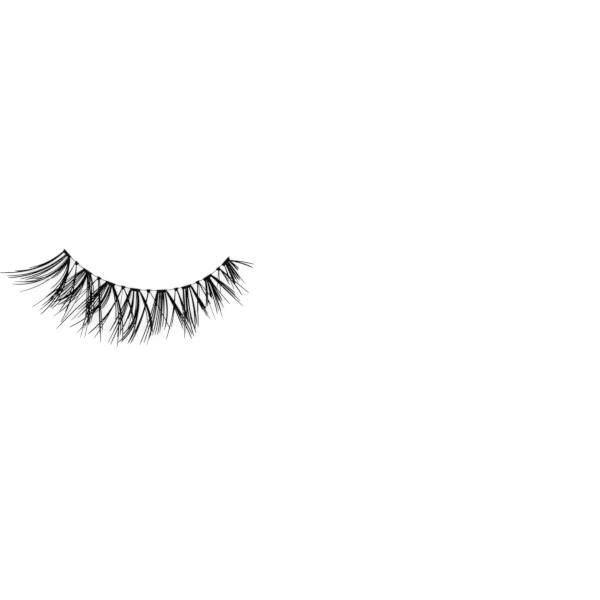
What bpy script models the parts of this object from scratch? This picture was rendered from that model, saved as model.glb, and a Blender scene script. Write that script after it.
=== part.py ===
"""False eyelash strip: fifteen tufts of black hair knotted along a clear thread.

The strip lies by itself on a flat surface. The lid side of its thread faces +Y
and its hairs lie towards -Y, with the outer corner of the eye at -X and the
inner corner at +X. Its hairs dip until they touch the surface and then curl up
off it. The origin is on the surface, under the middle of the whole strip.

Sizes are in metres and angles in degrees. An aim is an angle seen from above,
counted from -Y and positive towards +X.
"""
import math

import bmesh
import bpy
from mathutils import Matrix, Vector

# Thread that carries the tufts
BAND_LENGTH = 0.033
BAND_LOW_SHARE = 0.552
BAND_OUTER_TURN = 52.0
BAND_INNER_TURN = 53.5
BAND_TURN_POWER = 1.15
THREAD_WIDTH = 0.00013
THREAD_TAIL = 0.00015
THREAD_CLEARANCE = 0.00005

# Knots that tie the tufts to the thread
BIG_KNOT_LENGTH = 0.00185
SMALL_KNOT_LENGTH = 0.00085
KNOT_DEPTH = 0.00062
KNOT_HEIGHT = 0.00050
KNOT_LID_WALL = 0.00019
KNOT_EDGE = 0.00007
BIG_KNOT_FRONT_SHARE = 0.94
SMALL_KNOT_FRONT_SHARE = 0.58

# Locks of hair
HAIR_REACH = 0.00965
LOCK_WIDTH = 0.00080
LOCK_THICKNESS = 0.00022
LOCK_ROOT_DEPTH = 0.00010
BELLY_DIP = 0.00042
CURL_RISE = 0.0036
CURL_RISE_POWER = 1.1
CURL_BEND_POWER = 4.0
LAYER_STEP = 0.00036
LAYER_RAMP = 0.0022

# How round the pieces are
THREAD_POINTS = 44
THREAD_ROUNDNESS = 2
BAND_STEPS = 60
KNOT_EDGE_STEPS = 2
BORE_SIDES = 12
LOCK_SIDES = 6
SMOOTH_ANGLE = 40.0
WELD = 0.0000012

# Lock from root to tip: share along it, width and thickness as shares of the lock's own
LOCK_SECTIONS = (
    (0.00, 0.45, 1.00),
    (0.12, 0.55, 1.00),
    (0.26, 0.75, 0.95),
    (0.42, 0.95, 0.88),
    (0.58, 1.00, 0.72),
    (0.73, 0.85, 0.55),
    (0.87, 0.55, 0.40),
    (1.00, 0.14, 0.24),
)

# Tufts from the outer corner: name, place as a share of the band, size of knot,
# then a row for each lock: root across the knot (-1 outer end, +1 inner end), aim of
# its tip, reach as a share of HAIR_REACH, bow from root to tip, width as a share of
# LOCK_WIDTH, and layer (how many LAYER_STEPs it rises to pass over its neighbours)
TUFTS = (
    ("tuft_01", 0.027, "big", (
        (-0.75, -73.5, 1.28, -42, 0.50, 0),
        (0.00, -68.5, 1.16, -42, 0.40, 0),
        (0.25, -59.0, 0.93, -31, 0.75, 0),
        (0.50, -61.0, 1.10, -56, 0.40, 0),
        (0.55, -54.5, 0.80, -52, 0.55, 0),
        (0.92, -24.5, 1.13, -48, 0.60, 2),
        (0.95, -19.0, 0.93, -44, 0.60, 2),
    )),
    ("tuft_02", 0.098, "small", (
        (-0.50, -34.5, 0.62, -8, 0.40, 3),
        (0.20, -15.5, 1.02, -29, 0.65, 3),
    )),
    ("tuft_03", 0.170, "big", (
        (-0.90, -58.5, 1.08, -4, 0.40, 0),
        (-0.85, -52.5, 1.03, -6, 0.60, 0),
        (-0.50, -48.0, 0.86, -11, 0.75, 0),
        (0.05, -41.5, 0.84, -38, 0.80, 0),
        (0.10, -31.0, 1.00, -27, 0.65, 0),
        (0.35, 0.0, 1.00, -10, 0.70, 2),
        (0.50, -4.0, 1.20, -16, 0.45, 2),
    )),
    ("tuft_04", 0.241, "small", (
        (-0.50, -46.0, 0.66, -5, 0.50, 3),
        (0.05, 2.4, 1.10, 1, 0.45, 2.5),
    )),
    ("tuft_05", 0.307, "big", (
        (-0.90, -48.0, 1.10, -4, 0.65, 0),
        (-0.75, -45.0, 0.74, -9, 0.85, 0),
        (-0.20, -32.0, 0.56, -25, 0.60, 0),
        (-0.15, -41.0, 1.07, -33, 0.50, 0),
        (-0.10, -24.0, 0.62, -24, 0.65, 0),
        (0.60, 7.5, 1.17, -26, 0.60, 1),
    )),
    ("tuft_06", 0.378, "small", (
        (-0.40, -32.5, 0.96, -18, 0.65, 3),
        (0.40, 17.5, 0.75, -10, 0.45, 2),
    )),
    ("tuft_07", 0.443, "big", (
        (-0.90, -27.5, 0.95, -9, 0.70, 0),
        (-0.85, -25.5, 1.09, -8, 0.40, 0),
        (-0.30, -17.0, 0.75, -27, 0.80, 0),
        (0.40, -15.0, 0.96, -57, 0.60, 0),
        (0.45, -7.6, 0.98, -38, 0.35, 0),
        (0.85, 20.5, 0.85, -30, 0.60, 1),
    )),
    ("tuft_08", 0.514, "small", (
        (-0.10, -18.5, 0.98, -20, 0.50, 2),
    )),
    ("tuft_09", 0.584, "big", (
        (-0.85, -19.0, 1.02, -7, 0.75, 0),
        (-0.50, -12.0, 0.82, -14, 0.50, 0),
        (0.00, -5.0, 0.79, -9, 0.75, 0),
        (0.10, 0.0, 0.55, -4, 0.55, 0),
        (0.50, 4.8, 0.71, -26, 0.40, 0),
        (0.90, 34.0, 0.98, -8, 0.85, 1),
    )),
    ("tuft_10", 0.661, "small", (
        (-0.50, -9.0, 0.84, -12, 0.50, 2),
        (0.25, 19.0, 0.62, -7, 0.50, 2),
    )),
    ("tuft_11", 0.717, "big", (
        (-0.60, -2.5, 0.88, -4, 0.70, 0),
        (-0.20, 2.0, 0.66, 4, 0.45, 0),
        (0.10, 9.0, 0.86, 12, 0.60, 0),
        (0.50, 13.5, 0.77, -12, 0.50, 0),
        (0.90, 37.5, 0.68, -2, 0.80, 1),
    )),
    ("tuft_12", 0.781, "small", (
        (-0.25, 0.5, 0.78, 2, 0.40, 2),
        (0.35, 33.0, 0.45, 4, 0.60, 2),
    )),
    ("tuft_13", 0.840, "big", (
        (-0.60, -1.7, 0.55, -12, 0.40, 0),
        (-0.30, 12.0, 0.52, -8, 0.60, 0),
        (0.05, 27.0, 0.54, -4, 0.80, 0),
        (0.00, 19.5, 0.72, -9, 0.50, 0),
        (0.80, 56.0, 0.66, -6, 0.80, 1),
    )),
    ("tuft_14", 0.912, "small", (
        (-0.10, 0.0, 0.42, 3, 0.40, 2),
        (0.50, 44.0, 0.66, -12, 0.60, 3),
    )),
    ("tuft_15", 0.967, "big", (
        (0.45, 80.0, 0.52, -16, 0.45, 0),
        (0.55, 57.0, 0.27, -10, 0.60, 0),
        (0.20, 38.5, 0.46, -3, 0.85, 0),
        (-0.15, 22.5, 0.49, -6, 0.50, 0),
        (-0.60, 13.0, 0.52, 2, 0.50, 0),
    )),
)

# Colours and finishes
HAIR_COLOUR = (0.008, 0.008, 0.010, 1.0)
HAIR_ROUGHNESS = 0.38
THREAD_COLOUR = (0.62, 0.63, 0.65, 1.0)
THREAD_ROUGHNESS = 0.22


def clear_scene():
    """Remove the objects of the scene that the script starts in."""
    for item in list(bpy.data.objects):
        bpy.data.objects.remove(item, do_unlink=True)


def make_material(name, colour, roughness):
    """A plain surface of one colour."""
    material = bpy.data.materials.new(name)
    material.use_nodes = True
    shader = material.node_tree.nodes["Principled BSDF"]
    shader.inputs["Base Color"].default_value = colour
    shader.inputs["Roughness"].default_value = roughness
    shader.inputs["Metallic"].default_value = 0.0
    return material


def band_place(distance):
    """Place on the thread, and its heading, at a distance from its outer end.

    The thread runs level at its lowest point and turns up to both ends, faster
    the further it is from that point. The place is measured from there.
    """
    run = distance - BAND_LOW_SHARE * BAND_LENGTH
    inner = run >= 0.0
    side = 1.0 if inner else -1.0
    side_length = BAND_LENGTH * (1.0 - BAND_LOW_SHARE if inner else BAND_LOW_SHARE)
    side_turn = math.radians(BAND_INNER_TURN if inner else BAND_OUTER_TURN)
    step = abs(run) / BAND_STEPS
    place = Vector((0.0, 0.0, 0.0))
    for index in range(BAND_STEPS):
        share = (index + 0.5) * step / side_length
        turn = side_turn * share ** BAND_TURN_POWER
        place += step * Vector((side * math.cos(turn), math.sin(turn), 0.0))
    end_turn = side_turn * (abs(run) / side_length) ** BAND_TURN_POWER
    return place, side * end_turn


def towards(angle):
    """Level direction of an aim given in radians."""
    return Vector((math.sin(angle), -math.cos(angle), 0.0))


def lock_frames(row, half_length, heading):
    """Sections of one lock, in its tuft's own frame, as matrices.

    From above a lock is an arc that turns by its bow. From the side it dips to
    the surface and then curls up, more steeply towards its tip. The fall is what
    puts the lowest point of that curve BELLY_DIP below the root.
    """
    root, aim, reach_share, bow, width_share, layer = row
    start = Vector((root * half_length, -LOCK_ROOT_DEPTH, 0.0))
    tip = HAIR_REACH * reach_share * towards(math.radians(aim) - heading)
    chord = tip - start
    bow = math.radians(bow)
    first_aim = math.atan2(chord.x, -chord.y) - bow / 2
    length = chord.length * (bow / 2) / math.sin(bow / 2)
    power = CURL_BEND_POWER
    rise = CURL_RISE * reach_share ** CURL_RISE_POWER
    fall = (BELLY_DIP * (power * rise) ** (1 / (power - 1)) * power / (power - 1)) ** ((power - 1) / power)
    frames = []
    for share, width, thickness in LOCK_SECTIONS:
        turned = bow * share / 2
        level = length * share * math.sin(turned) / turned if share else 0.0
        place = start + level * towards(first_aim + turned)
        ramp_left = max(0.0, 1.0 - length * share / LAYER_RAMP)
        place.z = rise * share ** power - fall * share + layer * LAYER_STEP * (1.0 - ramp_left ** 2)
        slope = (power * rise * share ** (power - 1) - fall) / length
        slope += 2 * layer * LAYER_STEP * ramp_left / LAYER_RAMP
        along = towards(first_aim + 2 * turned)
        along.z = slope
        along.normalize()
        across = along.cross(Vector((0.0, 0.0, 1.0))).normalized()
        upward = across.cross(along)
        half_width = width * width_share * LOCK_WIDTH / 2
        half_thickness = thickness * LOCK_THICKNESS / 2
        turn = Matrix((across, upward, -along)).transposed().to_4x4()
        size = Matrix.Diagonal((half_width, half_thickness, 1.0, 1.0))
        frames.append(Matrix.Translation(place) @ turn @ size)
    return frames


def mesh_object(name, bm):
    """Turn a finished bmesh into an object of the scene."""
    bmesh.ops.recalc_face_normals(bm, faces=bm.faces)
    mesh = bpy.data.meshes.new(name)
    bm.to_mesh(mesh)
    bm.free()
    item = bpy.data.objects.new(name, mesh)
    bpy.context.scene.collection.objects.link(item)
    return item


def make_lock(name, frames):
    """A lock extruded ring by ring through all its sections, then closed."""
    bm = bmesh.new()
    bmesh.ops.create_circle(bm, cap_ends=False, segments=LOCK_SIDES, radius=1.0, matrix=frames[0])
    ring = bm.edges[:]
    for before, after in zip(frames, frames[1:]):
        made = bmesh.ops.extrude_edge_only(bm, edges=ring)["geom"]
        ring = [part for part in made if isinstance(part, bmesh.types.BMEdge)]
        verts = [part for part in made if isinstance(part, bmesh.types.BMVert)]
        bmesh.ops.transform(bm, matrix=after @ before.inverted(), verts=verts)
    bmesh.ops.holes_fill(bm, edges=bm.edges[:], sides=LOCK_SIDES)
    return mesh_object(name, bm)


def make_knot(name, length, front_share):
    """A bar along the thread, narrower where its hairs come out."""
    bm = bmesh.new()
    bmesh.ops.create_cube(bm, size=1.0)
    bmesh.ops.scale(bm, vec=(length, KNOT_DEPTH, KNOT_HEIGHT), verts=bm.verts)
    front = [vert for vert in bm.verts if vert.co.y < 0.0]
    bmesh.ops.scale(bm, vec=(front_share, 1.0, 1.0), verts=front)
    edge = min(KNOT_EDGE, KNOT_HEIGHT / 4, KNOT_DEPTH / 4)
    bmesh.ops.bevel(
        bm, geom=bm.edges[:], offset=edge, segments=KNOT_EDGE_STEPS, profile=0.5,
        affect="EDGES", material=-1,
    )
    return mesh_object(name, bm)


def make_bore(name, length):
    """Cutter for the hole that the thread runs through."""
    bm = bmesh.new()
    radius = THREAD_WIDTH / 2 + THREAD_CLEARANCE
    along = Matrix.Rotation(math.radians(90.0), 4, "Y")
    place = Matrix.Translation((0.0, KNOT_DEPTH / 2 - KNOT_LID_WALL, 0.0))
    bmesh.ops.create_cone(
        bm, cap_ends=True, segments=BORE_SIDES, radius1=radius, radius2=radius,
        depth=2 * length, matrix=place @ along,
    )
    return mesh_object(name, bm)


def weld(mesh):
    """Join the corners that a cut left almost in one place."""
    bm = bmesh.new()
    bm.from_mesh(mesh)
    bmesh.ops.triangulate(bm, faces=bm.faces[:])
    bmesh.ops.remove_doubles(bm, verts=bm.verts[:], dist=WELD)
    bmesh.ops.dissolve_degenerate(bm, edges=bm.edges[:], dist=WELD / 4)
    bm.to_mesh(mesh)
    bm.free()


def fuse(body, locks, bore):
    """Fuse the locks to their knot, then bore it for the thread."""
    helpers = bpy.data.collections.new(body.name + "_locks")
    for lock in locks:
        helpers.objects.link(lock)
    union = body.modifiers.new("fuse_locks", "BOOLEAN")
    union.operation = "UNION"
    union.solver = "EXACT"
    union.operand_type = "COLLECTION"
    union.collection = helpers
    cut = body.modifiers.new("bore", "BOOLEAN")
    cut.operation = "DIFFERENCE"
    cut.solver = "EXACT"
    cut.object = bore
    evaluated = body.evaluated_get(bpy.context.evaluated_depsgraph_get())
    fused = bpy.data.meshes.new_from_object(evaluated)
    body.modifiers.clear()
    body.data = fused
    weld(fused)
    for helper in [*locks, bore]:
        bpy.data.objects.remove(helper, do_unlink=True)
    bpy.data.collections.remove(helpers)


def finish(item, material, strip):
    """Give a piece its material, its shading and its parent."""
    item.data.materials.clear()
    item.data.materials.append(material)
    item.parent = strip
    if item.type == "MESH":
        item.data.shade_smooth()
        item.data.set_sharp_from_angle(angle=math.radians(SMOOTH_ANGLE))


def make_tuft(name, place_share, size, rows, material, strip):
    """One tuft: its knot, its locks and its bore, placed on the thread."""
    length = BIG_KNOT_LENGTH if size == "big" else SMALL_KNOT_LENGTH
    front_share = BIG_KNOT_FRONT_SHARE if size == "big" else SMALL_KNOT_FRONT_SHARE
    place, heading = band_place(place_share * BAND_LENGTH)
    tuft = make_knot(name, length, front_share)
    locks = []
    for number, row in enumerate(rows, start=1):
        frames = lock_frames(row, length / 2, heading)
        locks.append(make_lock(f"{name}_lock_{number}", frames))
    fuse(tuft, locks, make_bore(name + "_bore", length))
    to_centre = (KNOT_DEPTH / 2 - KNOT_LID_WALL) * towards(heading)
    tuft.location = place + to_centre
    tuft.rotation_euler = (0.0, 0.0, heading)
    finish(tuft, material, strip)
    return tuft


def make_thread(material, strip):
    """The thread, a round line that follows the lid."""
    curve = bpy.data.curves.new("band_thread", "CURVE")
    curve.dimensions = "3D"
    curve.bevel_depth = THREAD_WIDTH / 2
    curve.bevel_resolution = THREAD_ROUNDNESS
    curve.render_resolution_u = 0
    curve.use_fill_caps = True
    spline = curve.splines.new("POLY")
    spline.points.add(THREAD_POINTS - 1)
    whole = BAND_LENGTH + 2 * THREAD_TAIL
    for index, point in enumerate(spline.points):
        distance = whole * index / (THREAD_POINTS - 1) - THREAD_TAIL
        place, _ = band_place(distance)
        point.co = (*place, 1.0)
    thread = bpy.data.objects.new("band_thread", curve)
    bpy.context.scene.collection.objects.link(thread)
    finish(thread, material, strip)
    return thread


def settle(strip, pieces):
    """Stand the strip on the surface, with the origin under its middle."""
    bpy.context.view_layer.update()
    depsgraph = bpy.context.evaluated_depsgraph_get()
    corners = []
    for piece in pieces:
        evaluated = piece.evaluated_get(depsgraph)
        mesh = evaluated.to_mesh()
        corners.extend(evaluated.matrix_world @ vert.co for vert in mesh.vertices)
        evaluated.to_mesh_clear()
    low = Vector(min(corner[axis] for corner in corners) for axis in range(3))
    high = Vector(max(corner[axis] for corner in corners) for axis in range(3))
    middle = (low + high) / 2
    strip.location = (-middle.x, -middle.y, -low.z)


def main():
    clear_scene()
    hair = make_material("hair", HAIR_COLOUR, HAIR_ROUGHNESS)
    clear_thread = make_material("thread", THREAD_COLOUR, THREAD_ROUGHNESS)
    strip = bpy.data.objects.new("strip", None)
    bpy.context.scene.collection.objects.link(strip)
    pieces = [make_thread(clear_thread, strip)]
    for name, place_share, size, rows in TUFTS:
        pieces.append(make_tuft(name, place_share, size, rows, hair, strip))
    settle(strip, pieces)


main()
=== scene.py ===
# %% [markdown]
# # A strip of false eyelashes, hair by hair
#
# A strip lash is a thin clear thread, bent like the edge of the eyelid, with tufts of black fibre knotted
# round it. Big and small knots take turns. The hairs leave each knot in a fan, run down and out, and curl
# up at their tips. The solid model already holds the thread and fifteen tufts as plain closed solids.
# This script dresses them: it loads that model, keeps its box, and then makes every hair, every winding
# and the thread again as fine meshes in the same places.

# %% The solid model and its box
import math
import random

import bmesh
import bpy
from mathutils import Matrix, Vector


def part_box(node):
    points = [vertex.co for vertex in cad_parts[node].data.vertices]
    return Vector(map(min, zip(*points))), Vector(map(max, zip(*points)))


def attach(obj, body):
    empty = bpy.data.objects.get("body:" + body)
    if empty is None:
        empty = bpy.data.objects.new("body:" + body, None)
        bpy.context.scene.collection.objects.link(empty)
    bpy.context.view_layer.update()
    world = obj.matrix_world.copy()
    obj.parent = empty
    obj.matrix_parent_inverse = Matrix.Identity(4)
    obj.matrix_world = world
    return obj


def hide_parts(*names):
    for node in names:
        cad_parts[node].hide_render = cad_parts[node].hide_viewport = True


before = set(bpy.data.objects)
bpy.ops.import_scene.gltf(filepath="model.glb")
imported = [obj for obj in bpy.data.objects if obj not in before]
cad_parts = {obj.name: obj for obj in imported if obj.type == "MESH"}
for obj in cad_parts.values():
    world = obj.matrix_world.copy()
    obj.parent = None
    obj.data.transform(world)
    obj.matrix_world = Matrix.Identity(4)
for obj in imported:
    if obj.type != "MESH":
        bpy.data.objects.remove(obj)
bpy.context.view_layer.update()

# %% [markdown]
# The thread carries everything, so its line comes first. It starts level at its lowest point and turns
# more and more towards both ends, as an eyelid's edge does. A circle would be easier to write, but the
# eyelid's edge is flatter in the middle than at its corners, so the turn grows with a power of the
# distance instead. Most sizes are in millimetres, because the strip is small, and become metres when a
# mesh is placed.

# %% The line of the thread
MM = 0.001
BAND_LENGTH = 33.0        # along the curve, from end to end
BAND_LOW_SHARE = 0.552    # how far along it the lowest point lies
BAND_OUTER_TURN = 52.0    # degrees that it has turned at its outer end
BAND_INNER_TURN = 53.5    # and at its inner end
BAND_TURN_POWER = 1.15
BAND_STEPS = 60           # short straight steps that the curve is added up from


def band_place(distance):
    """Place of a point of the thread, from the thread's lowest point, and the heading there."""
    run = distance - BAND_LOW_SHARE * BAND_LENGTH
    inner = run >= 0.0
    side = 1.0 if inner else -1.0
    side_length = BAND_LENGTH * (1.0 - BAND_LOW_SHARE if inner else BAND_LOW_SHARE)
    side_turn = math.radians(BAND_INNER_TURN if inner else BAND_OUTER_TURN)
    step = abs(run) / BAND_STEPS
    place = Vector((0.0, 0.0, 0.0))
    for index in range(BAND_STEPS):
        share = (index + 0.5) * step / side_length
        turn = side_turn * share ** BAND_TURN_POWER
        place += step * Vector((side * math.cos(turn), math.sin(turn), 0.0))
    end_turn = side_turn * (abs(run) / side_length) ** BAND_TURN_POWER
    return place, side * end_turn


# %% [markdown]
# The line above starts at its own lowest point. The solid model has its origin under the middle of its
# box, so the line has to be moved to where the solid thread lies. The box of that solid says where: the
# two ends of the line belong at its left and right sides, and the lowest point belongs half a thread
# above its near side.

# %% Where the strip lies
THREAD_WIDTH = 0.13
THREAD_TAIL = 0.15        # that the thread sticks out past both ends of the band

thread_low, thread_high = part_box("band_thread")
left_end, _ = band_place(-THREAD_TAIL)
right_end, _ = band_place(BAND_LENGTH + THREAD_TAIL)
STRIP_PLACE = Vector((
    (thread_low.x + thread_high.x) / 2 / MM - (left_end.x + right_end.x) / 2,
    thread_low.y / MM + THREAD_WIDTH / 2,
    (thread_low.z + thread_high.z) / 2 / MM,
))
print("lowest point of the thread, mm:", [round(part, 3) for part in STRIP_PLACE])

# %% [markdown]
# The photograph is taken from straight above, from far enough away that nothing looks nearer than the
# rest. A long lens does the same here. The strip lies left of the middle of the picture, so the camera
# stands over the picture's middle and not over the strip: a shift of the lens would do too, but it would
# stay on in the other views.

# %% The camera
PICTURE_WIDTH = 600.0                    # px, the photograph's width and height
LOW_POINT_IN_PICTURE = (155.75, 290.55)  # px, where the thread's lowest point lies in it
BAND_IN_PICTURE = 188.0                  # px, the band's length in it, along the curve
LENS = 500.0
SENSOR = 36.0

mm_per_pixel = BAND_LENGTH / BAND_IN_PICTURE
camera_data = bpy.data.cameras.new("camera")
camera_data.lens = LENS
camera_data.sensor_width = SENSOR
camera = bpy.data.objects.new("camera", camera_data)
bpy.context.scene.collection.objects.link(camera)
camera.location = MM * Vector((
    STRIP_PLACE.x + mm_per_pixel * (PICTURE_WIDTH / 2 - LOW_POINT_IN_PICTURE[0]),
    STRIP_PLACE.y - mm_per_pixel * (PICTURE_WIDTH / 2 - LOW_POINT_IN_PICTURE[1]),
    mm_per_pixel * PICTURE_WIDTH * LENS / SENSOR,
))
bpy.context.scene.camera = camera
print("camera, mm:", [round(part / MM, 1) for part in camera.location])

# %% [markdown]
# The strip lies on plain white with next to no shadow. One big soft light from the far left and a weaker
# one from the near right give each fibre a thin line of gloss, and an even pale sky fills in the rest. A
# white floor alone would go grey between the hairs, so it also glows a little, like the lit white table
# that small things are photographed on.

# %% Light and floor
FLOOR_SIDE = 3.0          # metres
FLOOR_GLOW = 0.74
FLOOR_SPECKS = 900.0      # in each metre
FLOOR_DETAIL = 3.0        # how many finer specks are laid over the coarse ones
FLOOR_GREYS = (0.90, 0.93)
FLOOR_ROUGHNESS = 0.6
FLOOR_GLOSS = 0.1
SKY_STRENGTH = 0.18
SKY_COLOUR = (0.96, 0.98, 1.0, 1.0)
LIGHT_SIDE = 0.5          # metres
SOFT_LIGHTS = (           # (name, place in metres, watts)
    ("soft_light_far", (-0.45, 0.50, 0.55), 1.6),
    ("soft_light_near", (0.50, -0.45, 0.50), 0.8),
)

scene = bpy.context.scene
scene.view_settings.view_transform = "Standard"

sky = bpy.data.worlds.new("sky")
sky.use_nodes = True
sky_light = sky.node_tree.nodes["Background"]
sky_light.inputs["Color"].default_value = SKY_COLOUR
sky_light.inputs["Strength"].default_value = SKY_STRENGTH
scene.world = sky


def soft_light(name, place, watts):
    """A square soft light that looks at the middle of the scene."""
    data = bpy.data.lights.new(name, "AREA")
    data.size = LIGHT_SIDE
    data.energy = watts
    light = bpy.data.objects.new(name, data)
    scene.collection.objects.link(light)
    light.location = place
    light.rotation_euler = (-Vector(place)).to_track_quat("-Z", "Y").to_euler()


for name, place, watts in SOFT_LIGHTS:
    soft_light(name, place, watts)


def add_node(tree, kind, **values):
    """A new shader node, with some of its inputs set by name."""
    node = tree.nodes.new(kind)
    for name, value in values.items():
        node.inputs[name].default_value = value
    return node


def new_material(name):
    """A material with its node tree and its Principled shader."""
    material = bpy.data.materials.new(name)
    material.use_nodes = True
    return material, material.node_tree, material.node_tree.nodes["Principled BSDF"]


def colour_by(tree, shader, pattern, colours, positions=(0.0, 1.0)):
    """Let a pattern lead the colour from the first of two colours to the second."""
    shade = tree.nodes.new("ShaderNodeValToRGB")
    for end, position, colour in zip(shade.color_ramp.elements, positions, colours):
        end.position = position
        end.color = colour
    tree.links.new(pattern, shade.inputs["Fac"])
    tree.links.new(shade.outputs["Color"], shader.inputs["Base Color"])


floor_white, tree, shader = new_material("white_table")
specks = add_node(tree, "ShaderNodeTexNoise", Scale=FLOOR_SPECKS, Detail=FLOOR_DETAIL)
place = tree.nodes.new("ShaderNodeTexCoord")
tree.links.new(place.outputs["Object"], specks.inputs["Vector"])
colour_by(tree, shader, specks.outputs["Fac"], [(grey, grey, grey, 1.0) for grey in FLOOR_GREYS])
shader.inputs["Roughness"].default_value = FLOOR_ROUGHNESS
shader.inputs["Specular IOR Level"].default_value = FLOOR_GLOSS
shader.inputs["Emission Color"].default_value = (1.0, 1.0, 1.0, 1.0)
shader.inputs["Emission Strength"].default_value = FLOOR_GLOW

bm = bmesh.new()
bmesh.ops.create_grid(bm, x_segments=1, y_segments=1, size=FLOOR_SIDE / 2)
floor_mesh = bpy.data.meshes.new("floor")
bm.to_mesh(floor_mesh)
bm.free()
floor_mesh.materials.append(floor_white)
floor = bpy.data.objects.new("floor", floor_mesh)
scene.collection.objects.link(floor)

# %% [markdown]
# Lash fibre is drawn like fishing line, dyed black and heat-set in its curl. Close up it isn't one even
# black: each fibre has its own tone, fine streaks run along it from the drawing, and its gloss is broken
# by them. The pattern has to follow the fibre and not the room, so each mesh carries two attributes:
# "fibre" says how far along and on which side of the fibre a point lies, and "tone" is one number for
# each fibre. Noise that is stretched along the first one makes the streaks.

# %% The black fibre
FIBRE_DARK = (0.0012, 0.0012, 0.0016, 1.0)
FIBRE_LIGHT = (0.0065, 0.006, 0.007, 1.0)
STREAKS_ROUND = 2.4       # how often the streaks change round the fibre
STREAKS_ALONG = 0.35      # and for each millimetre along it
STREAK_SHARE = 0.6        # of the streaks in the colour, next to the fibre's own tone
TONES = (0.25, 0.9615)    # sums of streak and tone that are darkest and lightest
FIBRE_GLOSS = 0.15
FIBRE_BUMP = 0.35
BUMP_HEIGHT = 0.00001     # metres
STREAK_DETAIL = 4.0
STREAK_CONTRAST = 0.65    # of the finer streaks against the coarse ones
ROUGHNESS_SPREAD = (-0.10, 0.14)
HAIR_ROUGHNESS = 0.42
COAT_ROUGHNESS = 0.2


def gloss_by(tree, shader, pattern, smoothest, roughest):
    """Let a pattern lead the roughness from its least to its most."""
    gloss = tree.nodes.new("ShaderNodeMapRange")
    gloss.inputs["To Min"].default_value = smoothest
    gloss.inputs["To Max"].default_value = roughest
    tree.links.new(pattern, gloss.inputs["Value"])
    tree.links.new(gloss.outputs["Result"], shader.inputs["Roughness"])


def grain_by(tree, shader, pattern, strength, height):
    """Let a pattern stand up from the surface as a fine grain."""
    bump = add_node(tree, "ShaderNodeBump", Strength=strength, Distance=height)
    tree.links.new(pattern, bump.inputs["Height"])
    tree.links.new(bump.outputs["Normal"], shader.inputs["Normal"])


def fibre_material(name, roughness, coat):
    """Dyed black fibre with drawn streaks, more or less glossy."""
    material, tree, shader = new_material(name)
    fibre = tree.nodes.new("ShaderNodeAttribute")
    fibre.attribute_name = "fibre"
    tone = tree.nodes.new("ShaderNodeAttribute")
    tone.attribute_name = "tone"
    stretch = tree.nodes.new("ShaderNodeMapping")
    stretch.inputs["Scale"].default_value = (STREAKS_ROUND, STREAKS_ROUND, STREAKS_ALONG)
    tree.links.new(fibre.outputs["Vector"], stretch.inputs["Vector"])
    streaks = add_node(
        tree, "ShaderNodeTexNoise", Scale=1.0, Detail=STREAK_DETAIL, Roughness=STREAK_CONTRAST,
    )
    tree.links.new(stretch.outputs["Vector"], streaks.inputs["Vector"])

    both = tree.nodes.new("ShaderNodeMath")
    both.operation = "MULTIPLY_ADD"
    both.inputs[1].default_value = STREAK_SHARE
    tree.links.new(streaks.outputs["Fac"], both.inputs[0])
    tree.links.new(tone.outputs["Fac"], both.inputs[2])
    colour_by(tree, shader, both.outputs["Value"], (FIBRE_DARK, FIBRE_LIGHT), TONES)

    smoothest, roughest = (roughness + change for change in ROUGHNESS_SPREAD)
    gloss_by(tree, shader, streaks.outputs["Fac"], smoothest, roughest)
    grain_by(tree, shader, streaks.outputs["Fac"], FIBRE_BUMP, BUMP_HEIGHT)
    shader.inputs["Specular IOR Level"].default_value = FIBRE_GLOSS
    shader.inputs["Coat Weight"].default_value = coat
    shader.inputs["Coat Roughness"].default_value = COAT_ROUGHNESS
    return material


hair_black = fibre_material("hair_fibre", HAIR_ROUGHNESS, 0.0)
print("made", hair_black.name)

# %% [markdown]
# One straight hair is modelled only once, as a tube of rings: a circle is extruded ring by ring, and its
# two open ends are filled. It is one unit long and one unit in radius. Every real hair is a bent copy of
# it, so the work is done once and each copy only needs new places for its corners. Curves with a bevel
# would make the same tube, but their taper is harder to set hair by hair.

# %% One straight hair
HAIR_SIDES = 8
HAIR_STEPS = 20


def add_tube(bm, sides, steps, radius, length):
    """A straight closed tube along Z, smooth all round but not on its two ends."""
    bmesh.ops.create_circle(bm, cap_ends=False, segments=sides, radius=radius)
    ring = bm.edges[:]
    for _ in range(steps):
        made = bmesh.ops.extrude_edge_only(bm, edges=ring)["geom"]
        ring = [part for part in made if isinstance(part, bmesh.types.BMEdge)]
        ring_verts = [part for part in made if isinstance(part, bmesh.types.BMVert)]
        bmesh.ops.translate(bm, vec=(0.0, 0.0, length / steps), verts=ring_verts)
    bmesh.ops.holes_fill(bm, edges=bm.edges[:], sides=sides)
    bmesh.ops.recalc_face_normals(bm, faces=bm.faces[:])
    for face in bm.faces:
        face.smooth = len(face.verts) < sides


straight_hair = bmesh.new()
add_tube(straight_hair, HAIR_SIDES, HAIR_STEPS, 1.0, 1.0)
straight_mesh = bpy.data.meshes.new("straight_hair")
straight_hair.to_mesh(straight_mesh)
print("one hair has", len(straight_mesh.vertices), "corners")
straight_hair.free()

# %% [markdown]
# A hair that lies on a table does three things at once. Seen from above it bends in an arc from its knot
# to its tip. Seen from the side it first sinks until its belly rests on the table, then curls up at the
# tip. And where it crosses a hair of the next tuft, it passes over or under it. All three are short
# formulas of how far along the hair a point lies, so a hair is told by a few numbers: where on the knot
# it starts, which way its tip lies, how far it reaches, how much it bends, and on which layer it runs.

# %% The path of one hair
HAIR_REACH = 9.65         # from the knot to the tip of a hair of share 1, seen from above
ROOT_DEPTH = 0.10         # that the root starts in front of the knot's middle
CURL_RISE = 3.5
CURL_RISE_POWER = 1.1
CURL_BEND_POWER = 4.0     # how late along the hair the curl starts
LAYER_STEP = 0.36         # from one layer of crossing hairs to the next
LAYER_RAMP = 2.2          # that a hair takes to climb to its layer


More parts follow.
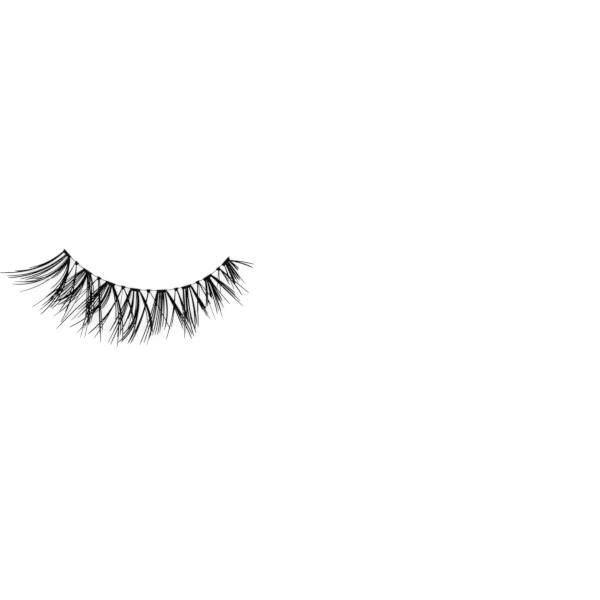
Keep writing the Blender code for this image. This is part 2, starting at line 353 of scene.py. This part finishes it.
def towards(angle):
    """Direction in plan, where 0 points straight away from the lid and 90 degrees to the inner corner."""
    return Vector((math.sin(angle), -math.cos(angle), 0.0))


def hair_path(root, tip_aim, reach, bow, layer, dip):
    """Function from the share along a hair to its place and its length and side directions there."""
    start = Vector((root, -ROOT_DEPTH, 0.0))
    chord = HAIR_REACH * reach * towards(tip_aim) - start
    first_aim = math.atan2(chord.x, -chord.y) - bow / 2
    length = chord.length * (bow / 2) / math.sin(bow / 2)
    power = CURL_BEND_POWER
    rise = CURL_RISE * reach ** CURL_RISE_POWER
    fall = (dip * (power * rise) ** (1 / (power - 1)) * power / (power - 1)) ** ((power - 1) / power)

    def at(share):
        turned = bow * share / 2
        level = length * share * (math.sin(turned) / turned if share > 0.0 else 1.0)
        place = start + level * towards(first_aim + turned)
        ramp_left = max(0.0, 1.0 - length * share / LAYER_RAMP)
        place.z = rise * share ** power - fall * share + layer * LAYER_STEP * (1.0 - ramp_left ** 2)
        slope = (power * rise * share ** (power - 1) - fall) / length
        slope += 2.0 * layer * LAYER_STEP * ramp_left / LAYER_RAMP
        along = towards(first_aim + 2.0 * turned)
        along.z = slope
        along.normalize()
        across = along.cross(Vector((0.0, 0.0, 1.0))).normalized()
        return place, across, across.cross(along)

    return at, length


# %% [markdown]
# A lash fibre is thickest a little past its knot and tapers to a fine point, because cut ends would look
# blunt and feel sharp. The taper below is a short table of shares, with straight steps in between that
# the eye can't see at this size. Adding a hair to a tuft then means: copy the straight one, and move each
# of its corners to its own place on the path. At the same time each corner gets its two attributes for
# the material.

# %% A hair in a tuft
HAIR_WIDTH = 0.205        # of a hair of weight 1, where it is thickest
TONE_SHIFT = 7.0          # that the streaks of the lightest fibre are shifted along it
TAPER = (                 # (share along the hair, share of its width)
    (0.0, 0.80),
    (0.10, 1.0),
    (0.75, 1.0),
    (0.89, 0.90),
    (0.96, 0.74),
    (1.0, 0.40),
)


def tapered(share):
    """Share of the full width at a share along the hair."""
    for (from_share, from_width), (to_share, to_width) in zip(TAPER, TAPER[1:]):
        if share <= to_share:
            part = (share - from_share) / (to_share - from_share)
            return from_width + part * (to_width - from_width)
    return TAPER[-1][1]


def add_hair(bm, place_tuft, path, length, width, tone_value):
    """Bend a copy of the straight hair along a path, into the mesh of a tuft."""
    fibre = bm.verts.layers.float_vector["fibre"]
    tone = bm.verts.layers.float["tone"]
    before = len(bm.verts)
    bm.from_mesh(straight_mesh)
    bm.verts.ensure_lookup_table()
    for vert in bm.verts[before:]:
        share = vert.co.z
        place, across, upward = path(share)
        radius = width / 2 * tapered(share)
        vert[fibre] = (vert.co.x, vert.co.y, share * length + TONE_SHIFT * tone_value)
        vert[tone] = tone_value
        vert.co = place_tuft @ (place + radius * (vert.co.x * across + vert.co.y * upward))


# %% [markdown]
# The chart below was read from the photograph hair by hair. A row is one hair, or a few that lie side by
# side. It says where on the knot they start (from -1 at its outer end to 1 at its inner end), where their
# tips lie (degrees from straight down, positive to the inner corner), their reach as a share of
# HAIR_REACH, how far they bend (degrees from root to tip), how many there are, how thick they are as a
# share of HAIR_WIDTH, and their layer.

# %% The chart of the outer third
# (root, tip aim, reach, bow, hairs, weight, layer)
TUFTS = [
    ("tuft_01", 0.027, "big", [
        (-0.85, -69.5, 0.73, -30, 1, 0.85, 0),
        (-0.75, -67.5, 0.74, -40, 1, 0.85, 0),
        (-0.75, -72.0, 0.99, -46, 1, 1.05, 0),
        (-0.75, -74.7, 1.28, -46, 1, 0.85, 0),
        (-0.60, -73.0, 1.16, -44, 1, 0.90, 0),
        (-0.05, -69.9, 1.16, -42, 1, 0.95, 0),
        (0.05, -67.7, 1.15, -40, 1, 0.95, 0),
        (0.25, -61.7, 0.96, -32, 1, 0.90, 0),
        (0.25, -57.9, 0.89, -30, 1, 0.90, 0),
        (0.55, -56.3, 0.82, -52, 1, 0.65, 0),
        (0.65, -61.2, 1.13, -64, 1, 0.90, 0),
        (0.70, -61.8, 1.06, -62, 1, 0.75, 0),
        (0.80, -52.7, 0.74, -60, 1, 0.75, 0),
        (0.75, -57.0, 0.94, -62, 1, 0.65, 0),
        (0.80, -38.5, 0.62, -45, 1, 0.60, 0),
        (0.80, -31.8, 0.53, -45, 1, 0.55, 0),
        (0.95, -51.2, 1.10, -44, 1, 0.60, 0),
        (0.95, -25.8, 0.86, -50, 1, 0.80, 2),
        (0.90, -23.8, 1.07, -44, 1, 1.00, 2),
        (0.95, -23.3, 1.20, -42, 1, 1.05, 2),
        (0.85, -25.8, 1.15, -48, 1, 0.70, 2),
        (0.90, -16.5, 1.02, -38, 1, 1.05, 2),
        (0.95, -20.0, 0.91, -42, 2, 0.95, 2),
        (0.70, -25.0, 0.70, -50, 1, 0.80, 2),
    ]),
    ("tuft_02", 0.098, "small", [
        (-0.50, -34.0, 0.45, -8, 1, 0.60, 3),
        (-0.50, -33.0, 0.58, -8, 1, 0.60, 3),
        (-0.50, -36.0, 0.69, -8, 1, 0.60, 3),
        (0.20, -19.0, 0.92, -35, 1, 0.95, 3),
        (0.20, -14.6, 1.10, -28, 1, 0.75, 3),
        (0.20, -12.9, 0.90, -24, 1, 0.75, 3),
    ]),
    ("tuft_03", 0.170, "big", [
        (-0.95, -64.5, 0.62, -4, 1, 0.60, 0),
        (-0.90, -57.0, 1.19, -4, 1, 0.70, 0),
        (-0.80, -53.0, 1.03, -6, 1, 0.80, 0),
        (-0.75, -50.5, 1.10, -6, 1, 0.55, 0),
        (-0.85, -59.5, 0.82, -6, 1, 0.70, 0),
        (-0.65, -55.5, 0.80, -6, 1, 0.70, 0),
        (-0.45, -49.5, 0.79, -12, 2, 0.75, 0),
        (-0.25, -43.6, 0.93, -10, 1, 0.80, 0),
        (-0.40, -46.8, 0.95, -10, 1, 0.65, 0),
        (0.00, -46.2, 0.81, -50, 2, 1.10, 0),
        (0.12, -39.4, 0.80, -44, 2, 1.00, 0),
        (0.00, -37.4, 1.02, -42, 1, 0.60, 0),
        (0.18, -34.0, 0.87, -30, 1, 0.90, 0),
        (0.15, -27.0, 1.02, -22, 1, 0.60, 0),
        (0.10, -1.5, 0.88, -2, 1, 0.90, 2),
        (0.28, 0.5, 0.95, -6, 1, 0.90, 2),
        (0.48, 1.5, 0.97, -12, 1, 0.90, 2),
        (0.70, 2.5, 0.96, -20, 1, 0.85, 2),
        (0.90, 4.0, 0.93, -30, 1, 0.80, 2),
        (0.85, -2.7, 1.04, -28, 1, 0.70, 2),
        (0.85, -4.8, 0.99, -30, 1, 0.90, 2),
        (0.60, -2.1, 1.21, -16, 1, 0.70, 2),
        (0.55, -5.8, 1.20, -16, 1, 0.70, 2),
    ]),
    ("tuft_04", 0.241, "small", [
        (-0.50, -50.0, 0.69, -5, 1, 0.60, 3),
        (-0.50, -43.7, 0.62, -5, 1, 0.60, 3),
        (0.05, 2.9, 0.99, 2, 2, 0.85, 2.5),
        (-0.10, 1.6, 0.84, 2, 1, 0.85, 2.5),
        (0.10, 2.1, 1.16, 1, 1, 0.85, 2.5),
        (0.40, 8.0, 0.40, -5, 1, 0.60, 2.5),
    ]),
    ("tuft_05", 0.307, "big", [
        (-0.95, -50.0, 1.27, 8, 1, 0.85, 0),
        (-0.98, -54.5, 0.72, -4, 1, 0.70, 0),
        (-0.88, -50.6, 0.75, -6, 1, 0.88, 0),
        (-0.76, -46.8, 0.74, -8, 1, 0.88, 0),
        (-0.64, -43.0, 0.76, -10, 1, 0.88, 0),
        (-0.52, -39.0, 0.72, -12, 1, 0.88, 0),
        (-0.40, -35.2, 0.68, -14, 1, 0.75, 0),
        (-0.80, -43.0, 0.86, -8, 1, 0.70, 0),
        (-0.85, -46.4, 0.97, -6, 1, 0.60, 0),
        (-0.10, -35.0, 0.64, -38, 1, 1.15, 0),
        (0.00, -32.0, 0.65, -38, 1, 1.15, 0),
        (0.05, -43.4, 1.08, -48, 1, 1.00, 0),
        (-0.10, -34.0, 1.08, -25, 1, 0.75, 0),
        (0.15, -27.4, 0.60, -38, 1, 0.80, 0),
        (0.25, -22.6, 0.55, -34, 1, 0.65, 0),
        (0.35, -17.0, 0.48, -32, 1, 0.75, 0),
        (0.35, 8.0, 0.73, -22, 1, 0.90, 1),
        (0.50, 9.4, 0.98, -28, 2, 1.00, 1),
        (0.60, 6.4, 1.17, -24, 1, 0.75, 1),
        (0.70, 11.9, 1.08, -26, 1, 0.90, 1),
    ]),
]

# %% The chart of the middle
TUFTS += [
    ("tuft_06", 0.378, "small", [
        (-0.40, -36.6, 1.05, -28, 1, 1.05, 3),
        (-0.40, -29.6, 1.06, -10, 1, 0.75, 3),
        (-0.40, -32.1, 0.90, -18, 1, 0.60, 3),
        (-0.40, -31.0, 0.69, -18, 1, 1.05, 3),
        (0.40, 19.6, 0.59, -8, 1, 1.05, 2),
        (0.40, 15.1, 0.82, -12, 1, 0.75, 2),
        (-0.10, -8.0, 0.31, 1, 1, 0.55, 2),
    ]),
    ("tuft_07", 0.443, "big", [
        (-0.95, -31.2, 0.88, -8, 1, 1.10, 0),
        (-0.90, -25.5, 0.89, -10, 2, 1.05, 0),
        (-0.85, -27.2, 1.08, -8, 1, 0.75, 0),
        (-0.80, -23.9, 1.09, -8, 1, 1.00, 0),
        (-0.60, -23.6, 0.66, -12, 1, 0.60, 0),
        (-0.30, -19.7, 0.82, -30, 1, 1.10, 0),
        (-0.25, -10.9, 0.71, -22, 1, 0.60, 0),
        (-0.20, -14.0, 0.55, -25, 1, 1.05, 0),
        (0.25, -2.6, 0.52, -12, 1, 0.75, 0),
        (0.40, -16.1, 1.00, -60, 2, 1.15, 0),
        (0.40, -13.6, 0.84, -55, 2, 1.05, 0),
        (0.45, -7.6, 0.98, -38, 1, 0.90, 0),
        (0.85, 20.9, 0.88, -32, 2, 1.10, 1),
        (0.80, 18.6, 0.73, -24, 1, 0.75, 1),
        (0.90, 22.0, 0.80, -32, 1, 1.05, 1),
    ]),
    ("tuft_08", 0.514, "small", [
        (-0.10, -21.3, 1.02, -22, 1, 1.05, 2),
        (-0.10, -18.6, 1.00, -20, 1, 1.05, 2),
        (-0.10, -17.3, 0.82, -18, 1, 1.05, 2),
        (0.00, -15.0, 0.40, -12, 1, 1.00, 2),
        (0.50, 29.8, 0.80, -4, 1, 0.75, 2),
    ]),
    ("tuft_09", 0.584, "big", [
        (-0.90, -22.2, 1.05, -8, 1, 0.90, 0),
        (-0.80, -18.9, 0.99, -8, 1, 0.90, 0),
        (-0.75, -15.1, 1.02, -6, 1, 0.60, 0),
        (-0.65, -14.8, 0.89, -10, 1, 0.90, 0),
        (-0.45, -11.8, 0.82, -14, 1, 0.90, 0),
        (-0.25, -8.6, 0.81, -12, 1, 0.90, 0),
        (-0.05, -5.4, 0.80, -10, 1, 0.90, 0),
        (0.12, -2.6, 0.76, -8, 1, 0.85, 0),
        (0.25, 2.8, 0.59, -6, 1, 0.75, 0),
        (0.35, 1.2, 0.66, -14, 1, 0.75, 0),
        (0.50, 4.0, 0.71, -26, 1, 0.90, 0),
        (0.62, 5.6, 0.66, -28, 1, 0.90, 0),
        (0.90, 33.9, 1.03, -10, 2, 1.05, 1),
        (0.85, 31.0, 0.80, -8, 2, 0.95, 1),
        (0.95, 38.0, 0.62, -6, 2, 0.95, 1),
    ]),
    ("tuft_10", 0.661, "small", [
        (-0.50, -6.8, 0.69, -10, 1, 0.80, 2),
        (-0.50, -11.0, 0.93, -14, 1, 0.75, 2),
        (0.20, 19.5, 0.58, -8, 1, 1.05, 2),
        (0.30, 21.0, 0.67, -8, 1, 0.90, 2),
        (0.20, 17.0, 0.51, -6, 1, 0.60, 2),
    ]),
]

# %% The chart of the inner third
TUFTS += [
    ("tuft_11", 0.717, "big", [
        (-0.70, -2.2, 0.94, -4, 1, 0.75, 0),
        (-0.80, -6.8, 0.69, -8, 1, 0.55, 0),
        (-0.60, -0.4, 0.85, -4, 1, 0.60, 0),
        (-0.60, -3.0, 0.58, -4, 1, 1.05, 0),
        (-0.20, 2.0, 0.65, 4, 1, 1.05, 0),
        (0.10, 10.3, 0.91, 22, 2, 1.05, 0),
        (0.10, 8.3, 0.69, 6, 1, 0.60, 0),
        (0.15, 8.0, 0.61, 6, 1, 1.05, 0),
        (0.50, 11.5, 0.79, -14, 1, 1.05, 0),
        (0.50, 15.7, 0.71, -10, 1, 1.05, 0),
        (0.90, 36.7, 0.66, -2, 2, 0.90, 1),
        (0.85, 36.1, 0.73, -2, 1, 0.60, 1),
        (0.95, 41.9, 0.53, 1, 1, 1.05, 1),
        (0.80, 35.3, 0.52, 1, 1, 0.90, 1),
    ]),
    ("tuft_12", 0.781, "small", [
        (-0.20, 0.8, 0.81, 2, 1, 0.90, 2),
        (-0.20, -0.4, 0.55, 1, 1, 1.05, 2),
        (0.40, 30.6, 0.45, 2, 1, 1.05, 2),
        (0.50, 43.0, 0.36, -6, 1, 0.75, 2),
        (0.50, 25.5, 0.76, -10, 1, 0.50, 2),
        (0.30, 7.7, 0.25, 1, 1, 0.55, 2),
    ]),
    ("tuft_13", 0.840, "big", [
        (-0.60, -1.7, 0.55, -12, 2, 1.05, 0),
        (-0.30, 15.3, 0.69, -10, 1, 0.90, 0),
        (-0.30, 8.5, 0.37, -6, 1, 1.05, 0),
        (-0.20, 11.6, 0.41, -6, 1, 0.90, 0),
        (0.15, 30.2, 0.52, -4, 2, 0.95, 0),
        (0.00, 24.6, 0.51, -4, 2, 0.95, 0),
        (0.00, 21.2, 0.66, -10, 1, 0.90, 0),
        (0.00, 17.9, 0.65, -10, 1, 0.60, 0),
        (0.00, 20.1, 0.78, -6, 1, 0.60, 0),
        (0.10, 28.1, 0.63, 4, 1, 0.75, 0),
        (0.20, 39.8, 0.63, 10, 1, 0.75, 0),
        (0.90, 60.5, 0.58, -8, 1, 0.95, 1),
        (0.80, 57.2, 0.60, -6, 1, 0.85, 1),
        (0.70, 52.8, 0.63, -4, 1, 0.95, 1),
        (0.75, 54.2, 0.74, -6, 1, 0.75, 1),
        (0.70, 50.9, 0.83, 1, 1, 0.75, 1),
    ]),
    ("tuft_14", 0.912, "small", [
        (-0.10, -4.6, 0.34, 1, 1, 0.65, 2),
        (0.00, 5.4, 0.45, 6, 1, 0.60, 2),
        (0.50, 42.1, 0.64, -18, 1, 1.05, 3),
        (0.40, 35.0, 0.35, -6, 1, 0.75, 3),
        (0.40, 40.0, 0.30, -6, 2, 0.60, 3),
        (0.60, 51.8, 0.71, 1, 1, 0.75, 3),
    ]),
    ("tuft_15", 0.967, "big", [
        (0.45, 78.0, 0.50, -18, 1, 1.05, 0),
        (0.45, 84.5, 0.52, -12, 1, 0.75, 0),
        (0.60, 61.0, 0.27, -12, 1, 1.05, 0),
        (0.50, 53.6, 0.28, -8, 2, 0.60, 0),
        (0.20, 38.8, 0.42, -4, 3, 0.80, 0),
        (0.10, 34.2, 0.38, -4, 1, 0.80, 0),
        (0.25, 40.9, 0.53, -2, 1, 0.60, 0),
        (0.10, 30.1, 0.45, -4, 1, 0.60, 0),
        (0.10, 28.9, 0.36, -4, 1, 1.05, 0),
        (-0.20, 22.7, 0.45, -6, 2, 1.05, 0),
        (-0.10, 22.2, 0.49, -6, 1, 0.75, 0),
        (-0.60, 9.9, 0.32, 1, 1, 0.75, 0),
        (-0.60, 16.4, 0.53, 4, 1, 0.60, 0),
    ]),
]

# %% [markdown]
# Now the tufts. Each one gets a place on the thread and the thread's heading there, and its own seeded
# random numbers, so that every run gives the same hairs. Hairs of one row fan out by a few degrees and
# differ a little in length, width and bend, as real ones do. The belly of each hair rests on the table or
# less than a hair's breadth above it.

# %% Hairs of all tufts
BIG_KNOT_LENGTH = 1.85
SMALL_KNOT_LENGTH = 0.85
KNOT_DEPTH = 0.62
KNOT_HEIGHT = 0.50
KNOT_LID_WALL = 0.19      # from the thread's middle to the knot's lid side
ROW_FAN = 3.2             # degrees from one hair of a row to the next
ROW_ROOT_STEP = 0.15      # and from one root to the next, as a share of half a knot
BELLY_LIFT = 0.09         # that the highest bellies stay above the table
WIDTH_SPREAD = 0.06       # how far hairs of a row differ: in width, as a share of it
ROOT_SPREAD = 0.04        # in root, as a share of half a knot
AIM_SPREAD = 0.25         # in aim, in degrees
BOW_SPREAD = 0.8          # in bow, in degrees
SHORTEST_SHARE = 0.90     # and in reach, as a share of the row's first hair


def tuft_place(place_share):
    """Matrix from a tuft's own millimetres to its knot's place in metres, and the heading there."""
    place, heading = band_place(place_share * BAND_LENGTH)
    middle = STRIP_PLACE + place + (KNOT_DEPTH / 2 - KNOT_LID_WALL) * towards(heading)
    turned = Matrix.Rotation(heading, 4, "Z")
    return Matrix.Translation(MM * middle) @ turned @ Matrix.Scale(MM, 4), heading


def fibre_bmesh():
    """An empty bmesh with the two attributes that the fibre material reads."""
    bm = bmesh.new()
    bm.verts.layers.float_vector.new("fibre")
    bm.verts.layers.float.new("tone")
    return bm


def finished_piece(name, bm, material, node):
    """Make a bmesh an object of the scene that stands for a solid of the frame."""
    mesh = bpy.data.meshes.new(name)
    bm.to_mesh(mesh)
    bm.free()
    mesh.materials.append(material)
    piece = bpy.data.objects.new(name, mesh)
    scene.collection.objects.link(piece)
    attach(piece, "root")
    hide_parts(node)
    return piece


hair_count = 0
for number, (name, place_share, size, rows) in enumerate(TUFTS, start=1):
    chance = random.Random(number)
    place, heading = tuft_place(place_share)
    half_knot = (BIG_KNOT_LENGTH if size == "big" else SMALL_KNOT_LENGTH) / 2
    bm = fibre_bmesh()
    for root, tip_aim, reach, bow, hairs, weight, layer in rows:
        for index in range(hairs):
            from_middle = index - (hairs - 1) / 2
            width = HAIR_WIDTH * weight * (1.0 + chance.uniform(-WIDTH_SPREAD, WIDTH_SPREAD))
            dip = STRIP_PLACE.z - width / 2 - chance.uniform(0.0, BELLY_LIFT)
            hair_root = root + ROW_ROOT_STEP * from_middle + chance.uniform(-ROOT_SPREAD, ROOT_SPREAD)
            hair_aim = tip_aim + ROW_FAN * from_middle + chance.uniform(-AIM_SPREAD, AIM_SPREAD)
            hair_reach = reach * (1.0 if index == 0 else chance.uniform(SHORTEST_SHARE, 1.0))
            hair_bow = bow + chance.uniform(-BOW_SPREAD, BOW_SPREAD)
            path, length = hair_path(
                hair_root * half_knot, math.radians(hair_aim) - heading, hair_reach,
                math.radians(hair_bow), layer, dip,
            )
            add_hair(bm, place, path, length, width, chance.random())
            hair_count += 1
    finished_piece(name + "_hairs", bm, hair_black, name)
print("hairs:", hair_count)

# %% [markdown]
# A knot is made of fibre too: each hair is laid round the thread and drawn tight, so a knot is a row of
# small loops side by side. The glue that the lid side is dipped in pulls them straight there, so a loop
# is more of a rounded square than a ring. A ring comes from a spin of a small circle, and then each
# corner is pushed from the ring to the rounded square. The loops of a small knot crowd together where
# their hairs come out.

# %% One loop of a knot
LOOP_FIBRE = 0.19         # width of the fibre in a loop
LOOP_SIDES = 8
LOOP_STEPS = 20
LOOP_SQUARENESS = 3.4     # 2 is an ellipse, and more is closer to a rectangle
SAME_CORNER = 0.0001      # corners of a ring that are nearer than this are one
BIG_KNOT_FRONT_SHARE = 0.94
SMALL_KNOT_FRONT_SHARE = 0.58

spun = bmesh.new()
bmesh.ops.create_circle(
    spun, cap_ends=False, segments=LOOP_SIDES, radius=LOOP_FIBRE / 2,
    matrix=Matrix.Translation((0.0, 1.0, 0.0)),
)
bmesh.ops.spin(
    spun, geom=spun.edges[:], cent=(0.0, 0.0, 0.0), axis=(1.0, 0.0, 0.0),
    steps=LOOP_STEPS, angle=math.radians(360.0), use_merge=True,
)
bmesh.ops.remove_doubles(spun, verts=spun.verts[:], dist=SAME_CORNER)
bmesh.ops.recalc_face_normals(spun, faces=spun.faces[:])
for face in spun.faces:
    face.smooth = True
ring_mesh = bpy.data.meshes.new("ring")
spun.to_mesh(ring_mesh)
closed = all(edge.is_manifold for edge in spun.edges)
print("one loop has", len(ring_mesh.vertices), "corners, closed:", closed)
spun.free()


def squared(angle, half_depth, half_height):
    """Point of the rounded square at an angle round the thread."""
    power = 2.0 / LOOP_SQUARENESS
    depth = math.copysign(abs(math.cos(angle)) ** power, math.cos(angle))
    height = math.copysign(abs(math.sin(angle)) ** power, math.sin(angle))
    return Vector((0.0, half_depth * depth, half_height * height))


def front_narrowed(point, front_share):
    """The point, drawn in towards the knot's middle the nearer it is to the hairs."""
    share = 0.5 - point.y / KNOT_DEPTH
    return Vector((point.x * (1.0 + share * (front_share - 1.0)), point.y, point.z))


def add_loop(bm, place_tuft, along_knot, lean, front_share, swell, tone_value):
    """Push a copy of the ring to a rounded square round the thread."""
    fibre = bm.verts.layers.float_vector["fibre"]
    tone = bm.verts.layers.float["tone"]
    half_depth = (KNOT_DEPTH - LOOP_FIBRE) / 2 * swell
    half_height = (KNOT_HEIGHT - LOOP_FIBRE) / 2 * swell
    before = len(bm.verts)
    bm.from_mesh(ring_mesh)
    bm.verts.ensure_lookup_table()
    for vert in bm.verts[before:]:
        angle = math.atan2(vert.co.z, vert.co.y)
        offset = vert.co - Vector((0.0, math.cos(angle), math.sin(angle)))
        outward = offset.y * math.cos(angle) + offset.z * math.sin(angle)
        point = squared(angle, half_depth, half_height) + offset
        point.x += along_knot + lean * point.y
        along_fibre = angle + TONE_SHIFT * tone_value
        vert[fibre] = (2.0 * offset.x / LOOP_FIBRE, 2.0 * outward / LOOP_FIBRE, along_fibre)
        vert[tone] = tone_value
        vert.co = place_tuft @ front_narrowed(point, front_share)


# %% [markdown]
# Between the loops sits a little dried glue. It fills the knot, holds the thread and makes the knot
# glossier than the hairs. It is a small block with well rounded edges, just inside the loops, so that
# they stand out as ribs and the knot keeps its straight lid side. The thread runs through the middle of
# it.

# %% The knots
BIG_KNOT_LOOPS = 11
SMALL_KNOT_LOOPS = 6
SMALL_KNOT_SWELL = 1.20   # a small knot's loops have less room, so they bulge a little
LOOP_LEAN = 0.12          # how far a loop may lean along the knot
LOOP_SWELLS = (0.96, 1.03)
LOOP_SEEDS = 100          # the loops' random numbers start here, clear of the hairs' own
KNOT_ROUGHNESS = 0.36
KNOT_COAT = 0.12
GLUE_SINK = 0.05          # that the glue stays below the loops
GLUE_EDGE = 0.12
GLUE_EDGE_STEPS = 4
GLUE_SKIN = 9000.0        # grains in each metre
GLUE_SKIN_DETAIL = 3.0
GLUE_SKIN_CONTRAST = 0.6
GLUE_DARK = (0.003, 0.003, 0.004, 1.0)
GLUE_LIGHT = (0.012, 0.012, 0.013, 1.0)
GLUE_ROUGHNESS = (0.18, 0.42)
GLUE_GLOSS = 0.12
GLUE_BUMP = 0.5
GLUE_BUMP_HEIGHT = 0.00002

knot_black = fibre_material("knot_fibre", KNOT_ROUGHNESS, KNOT_COAT)


def glue_material():
    """Dried black glue: glossy, with a fine uneven skin."""
    material, tree, shader = new_material("lash_glue")
    place = tree.nodes.new("ShaderNodeTexCoord")
    skin = add_node(
        tree, "ShaderNodeTexNoise", Scale=GLUE_SKIN, Detail=GLUE_SKIN_DETAIL, Roughness=GLUE_SKIN_CONTRAST,
    )
    tree.links.new(place.outputs["Object"], skin.inputs["Vector"])
    colour_by(tree, shader, skin.outputs["Fac"], (GLUE_DARK, GLUE_LIGHT))
    gloss_by(tree, shader, skin.outputs["Fac"], *GLUE_ROUGHNESS)
    grain_by(tree, shader, skin.outputs["Fac"], GLUE_BUMP, GLUE_BUMP_HEIGHT)
    shader.inputs["Specular IOR Level"].default_value = GLUE_GLOSS
    return material


glue_black = glue_material()


def make_glue(name, place_tuft, length, front_share):
    """The glue inside one knot."""
    bm = bmesh.new()
    bmesh.ops.create_cube(bm, size=1.0)
    inner = Vector((length, KNOT_DEPTH, KNOT_HEIGHT)) - 2.0 * GLUE_SINK * Vector((1.0, 1.0, 1.0))
    bmesh.ops.scale(bm, vec=inner, verts=bm.verts[:])
    bmesh.ops.bevel(
        bm, geom=bm.edges[:], offset=GLUE_EDGE, segments=GLUE_EDGE_STEPS, profile=0.5,
        affect="EDGES", material=-1,
    )
    for vert in bm.verts:
        vert.co = place_tuft @ front_narrowed(vert.co, front_share)
    for face in bm.faces:
        face.smooth = True
    finished_piece(name + "_glue", bm, glue_black, name)


for number, (name, place_share, size, rows) in enumerate(TUFTS, start=1):
    chance = random.Random(LOOP_SEEDS + number)
    place, heading = tuft_place(place_share)
    big = size == "big"
    length = BIG_KNOT_LENGTH if big else SMALL_KNOT_LENGTH
    loops = BIG_KNOT_LOOPS if big else SMALL_KNOT_LOOPS
    front_share = BIG_KNOT_FRONT_SHARE if big else SMALL_KNOT_FRONT_SHARE
    room = length - LOOP_FIBRE
    bm = fibre_bmesh()
    for index in range(loops):
        along_knot = room * (index / (loops - 1) - 0.5)
        inner_loop = 0 < index < loops - 1
        lean = chance.uniform(-LOOP_LEAN, LOOP_LEAN) if inner_loop else 0.0
        swell = chance.uniform(*LOOP_SWELLS) * (1.0 if big else SMALL_KNOT_SWELL)
        add_loop(bm, place, along_knot, lean, front_share, swell, chance.random())
    finished_piece(name + "_loops", bm, knot_black, name)
    make_glue(name, place, length, front_share)

# %% [markdown]
# The thread is clear nylon, about as thick as a hair of the strip. On a white table it looks mid grey,
# because it bends the light from the side and isn't quite clear. A shader that lets some light through,
# with a grey tint and some haze, gives that. It is the same straight tube as a hair, here with many more
# steps, and each of its corners is moved to its place along the line.

# %% The clear thread
THREAD_SIDES = 14
THREAD_STEPS = 150
HAZE_SCALE = (1.6, 1.6, 0.9)
HAZE_DETAIL = 4.0
HAZE_CONTRAST = 0.6
NYLON_DARK = (0.045, 0.045, 0.05, 1.0)
NYLON_LIGHT = (0.10, 0.10, 0.105, 1.0)
NYLON_TONES = (0.3, 0.7)
NYLON_ROUGHNESS = (0.14, 0.36)
NYLON_BUMP = 0.25
NYLON_CLEARNESS = 0.25
NYLON_IOR = 1.53


def nylon_material():
    """Hazy clear nylon, drawn along its length."""
    material, tree, shader = new_material("clear_nylon")
    fibre = tree.nodes.new("ShaderNodeAttribute")
    fibre.attribute_name = "fibre"
    stretch = tree.nodes.new("ShaderNodeMapping")
    stretch.inputs["Scale"].default_value = HAZE_SCALE
    tree.links.new(fibre.outputs["Vector"], stretch.inputs["Vector"])
    haze = add_node(tree, "ShaderNodeTexNoise", Scale=1.0, Detail=HAZE_DETAIL, Roughness=HAZE_CONTRAST)
    tree.links.new(stretch.outputs["Vector"], haze.inputs["Vector"])
    colour_by(tree, shader, haze.outputs["Fac"], (NYLON_DARK, NYLON_LIGHT), NYLON_TONES)
    gloss_by(tree, shader, haze.outputs["Fac"], *NYLON_ROUGHNESS)
    grain_by(tree, shader, haze.outputs["Fac"], NYLON_BUMP, BUMP_HEIGHT)
    shader.inputs["Transmission Weight"].default_value = NYLON_CLEARNESS
    shader.inputs["IOR"].default_value = NYLON_IOR
    return material


bm = fibre_bmesh()
fibre = bm.verts.layers.float_vector["fibre"]
add_tube(bm, THREAD_SIDES, THREAD_STEPS, THREAD_WIDTH / 2, BAND_LENGTH + 2 * THREAD_TAIL)
for vert in bm.verts:
    side, upward, distance = vert.co
    vert[fibre] = (2.0 * side / THREAD_WIDTH, 2.0 * upward / THREAD_WIDTH, distance)
    place, heading = band_place(distance - THREAD_TAIL)
    vert.co = MM * (STRIP_PLACE + place + side * towards(heading) + Vector((0.0, 0.0, upward)))
bmesh.ops.recalc_face_normals(bm, faces=bm.faces[:])
thread = finished_piece("thread", bm, nylon_material(), "band_thread")
print("thread corners:", len(thread.data.vertices))
